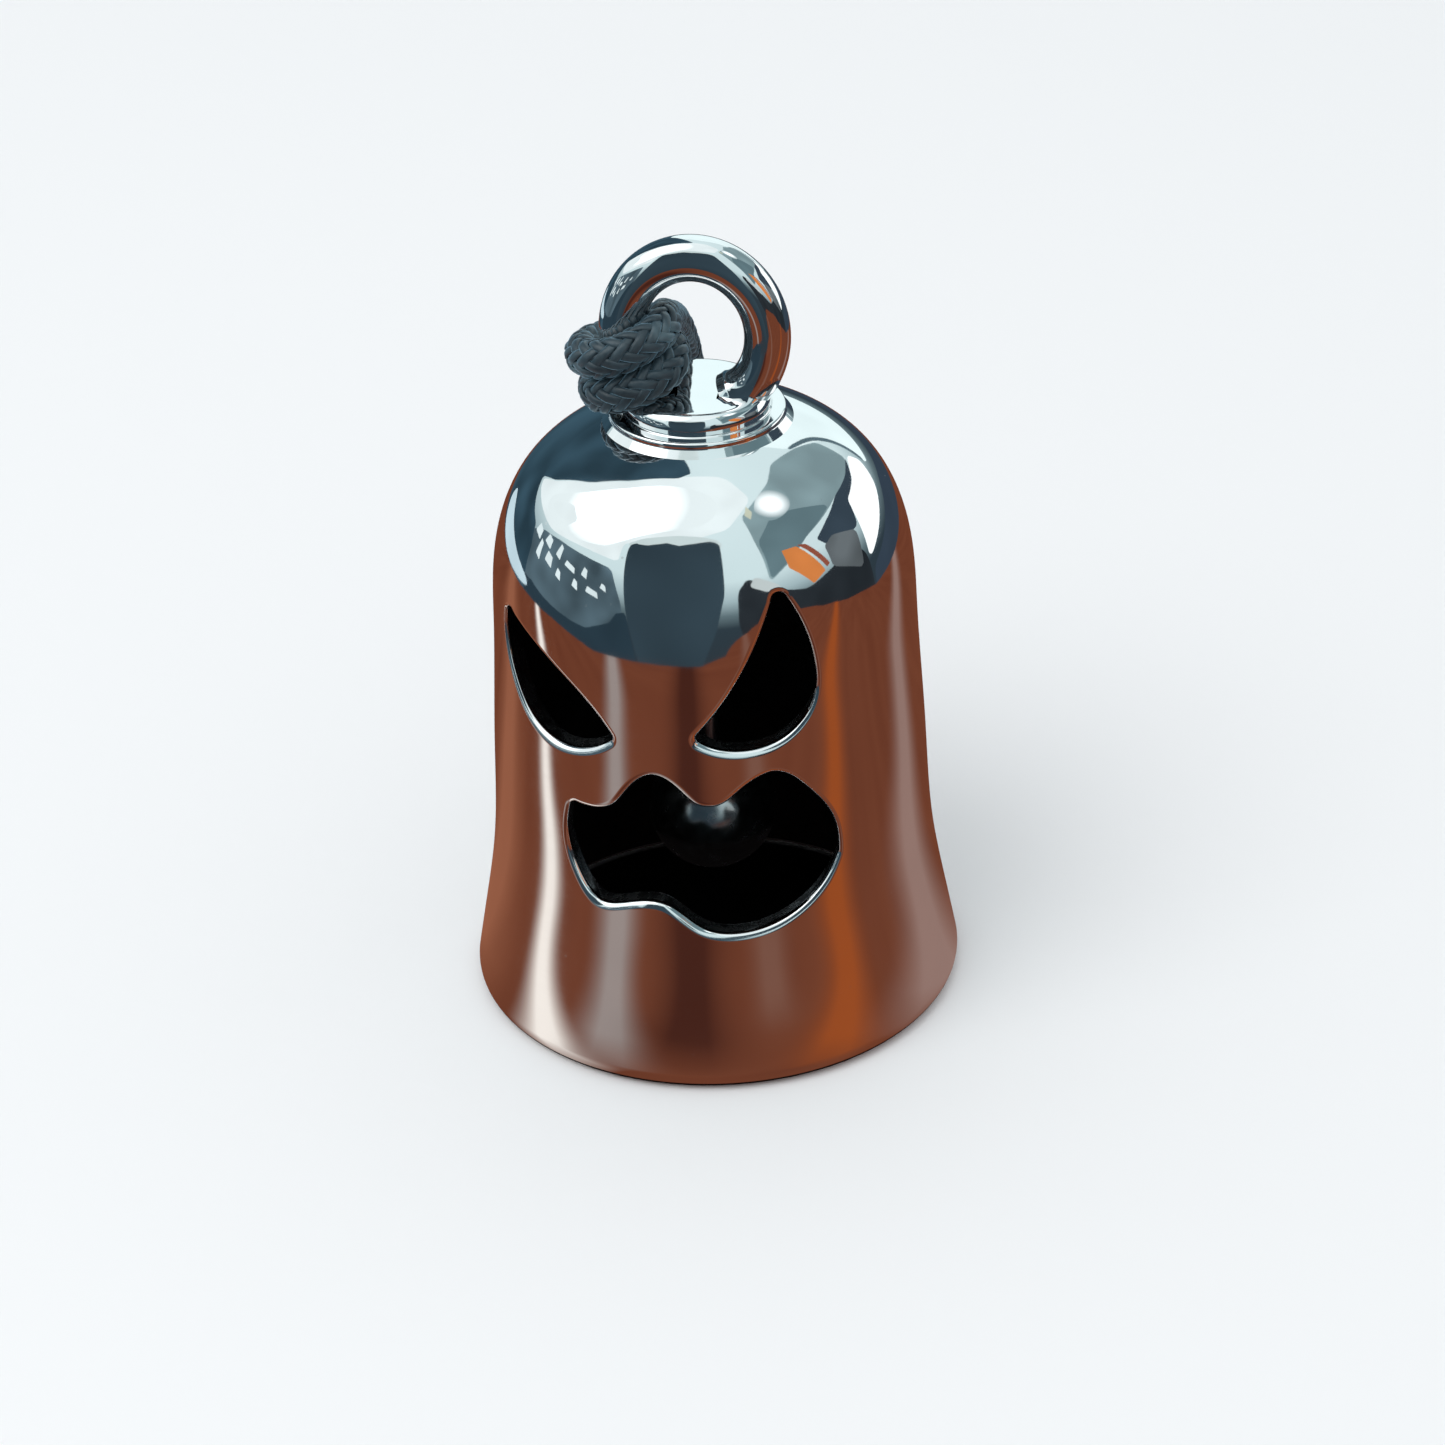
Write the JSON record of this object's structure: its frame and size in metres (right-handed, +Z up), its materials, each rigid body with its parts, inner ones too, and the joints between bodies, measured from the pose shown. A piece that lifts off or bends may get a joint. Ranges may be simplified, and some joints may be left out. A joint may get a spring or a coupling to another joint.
{
  "type": "hanging bell",
  "caption": "Small polished hanging bell with a cut-out face, a swinging ball clapper, a hanging ring and a braided cord loop.",
  "frame": {"origin": "centre of the bell's mouth, on the plane that its rim stands on", "axes": "+Z up along the bell's axis, -Y out through the face, +X to the right seen from the front"},
  "size_m": [0.026, 0.0582, 0.0424],
  "materials": {
    "polished_steel": "mirror polished stainless steel",
    "polished_steel_crown": "mirror polished stainless steel",
    "polished_steel_ring": "mirror polished stainless steel",
    "wire_steel": "drawn wire, dull",
    "ball_steel": "tumbled steel ball",
    "black_cord": "tight round braid of nylon, slight sheen"
  },
  "bodies": {
    "bell": {"bell_shell": "polished_steel", "crown_disc": "polished_steel_crown", "hanger_ring": "polished_steel_ring", "clapper_staple": "wire_steel", "cord_hitch": "black_cord", "cord_strand_upper": "black_cord", "cord_strand_lower": "black_cord", "cord_end_knot": "black_cord"},
    "link": {"clapper_link": "wire_steel"},
    "clapper": {"clapper_wire": "wire_steel", "clapper_ball": "ball_steel"}
  },
  "joints": [
    {"name": "link_swing", "type": "hinge", "parent": "bell", "child": "link", "pos_m": [0, 0, 0.029], "axis": [1, 0, 0], "range_deg": [-13, 13]},
    {"name": "clapper_swing", "type": "hinge", "parent": "link", "child": "clapper", "pos_m": [0, 0, 0.02589], "axis": [0, 1, 0], "range_deg": [-16, 16]}
  ]
}
